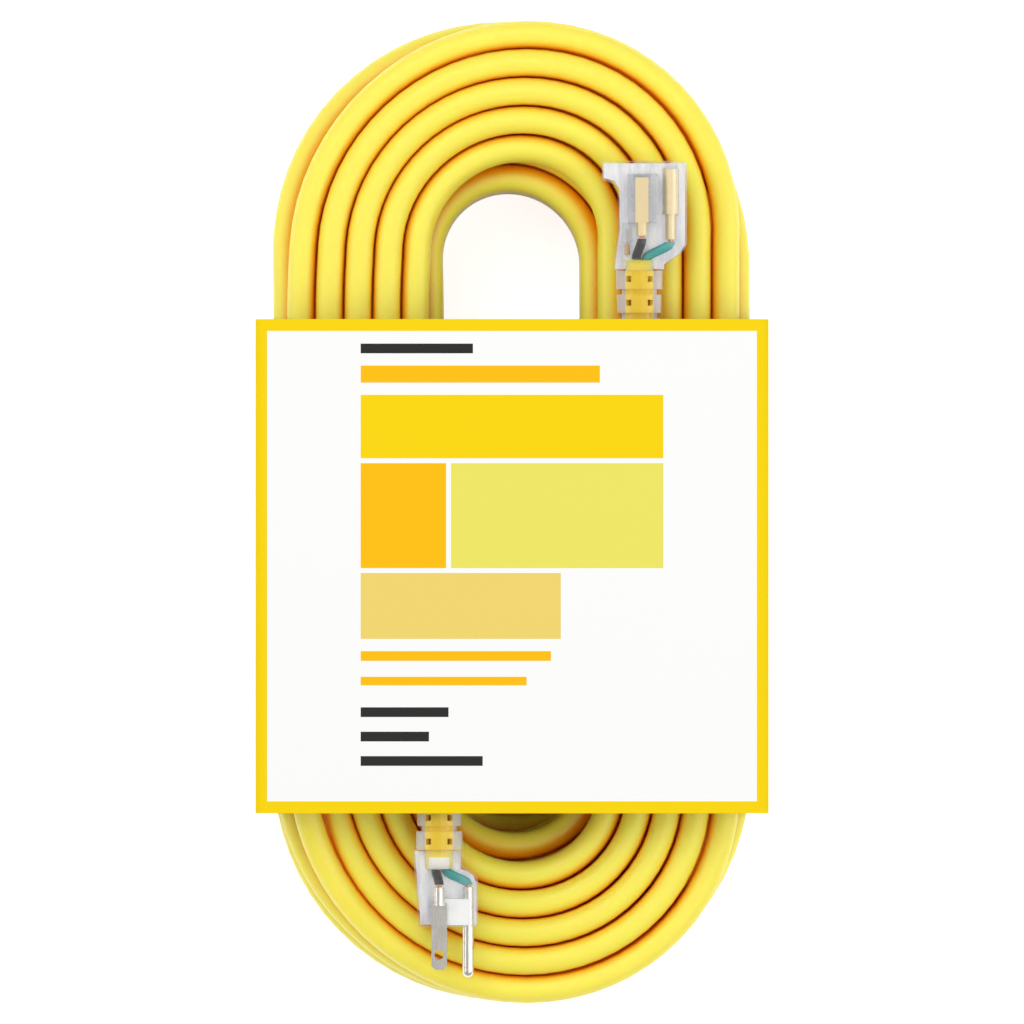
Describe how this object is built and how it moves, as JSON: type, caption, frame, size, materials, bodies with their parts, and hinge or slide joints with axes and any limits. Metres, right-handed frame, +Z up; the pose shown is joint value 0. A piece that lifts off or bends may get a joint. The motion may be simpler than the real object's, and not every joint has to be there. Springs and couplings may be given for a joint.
{
  "type": "extension cord",
  "caption": "Coiled yellow outdoor power cord with clear three-pin plug and lighted connector, held by a sliding card sleeve.",
  "frame": {"origin": "bottom centre of the bounding box, on the surface the card sleeve lies on", "axes": "+Y along the hank towards the connector, +X to the connector's side, +Z up through the printed face"},
  "size_m": [0.2104, 0.4036, 0.1196],
  "materials": {
    "jacket": "satin yellow PVC cord jacket",
    "card": "printed folding card",
    "clear_pvc": "clear moulded PVC",
    "relief_pvc": "clear moulded PVC strain relief",
    "white_block": "white moulded nylon",
    "nickel": "nickel-plated brass",
    "brass": "stamped brass",
    "copper": "bare copper strand",
    "black_wire": "black PVC insulation",
    "white_wire": "white PVC insulation",
    "green_wire": "green PVC insulation",
    "lamp_glass": "neon lamp glass",
    "resistor": "lacquered resistor body"
  },
  "bodies": {
    "hank": {"hank_turns": "jacket", "hank_core": "jacket", "plug_lead": "jacket", "connector_lead": "jacket", "plug_jacket_end": "jacket", "plug_body": "clear_pvc", "plug_strain_relief": "relief_pvc", "plug_insert": "white_block", "plug_line_blade": "nickel", "plug_neutral_blade": "nickel", "plug_ground_pin": "nickel", "plug_line_wire": "black_wire", "plug_neutral_wire": "white_wire", "plug_ground_wire": "green_wire", "plug_copper_ends": "copper", "connector_jacket_end": "jacket", "connector_body": "clear_pvc", "connector_strain_relief": "relief_pvc", "contact_carrier": "white_block", "connector_line_contact": "brass", "connector_neutral_contact": "brass", "connector_ground_contact": "brass", "connector_line_wire": "black_wire", "connector_neutral_wire": "white_wire", "connector_ground_wire": "green_wire", "connector_copper_ends": "copper", "indicator_lamp": "lamp_glass", "lamp_leads": "copper", "lamp_resistor": "resistor"},
    "sleeve": {"sleeve": "card"}
  },
  "joints": [
    {"name": "sleeve_slide", "type": "slide", "parent": "hank", "child": "sleeve", "axis": [0, 1, 0], "range_m": [-0.32, 0.33]}
  ]
}
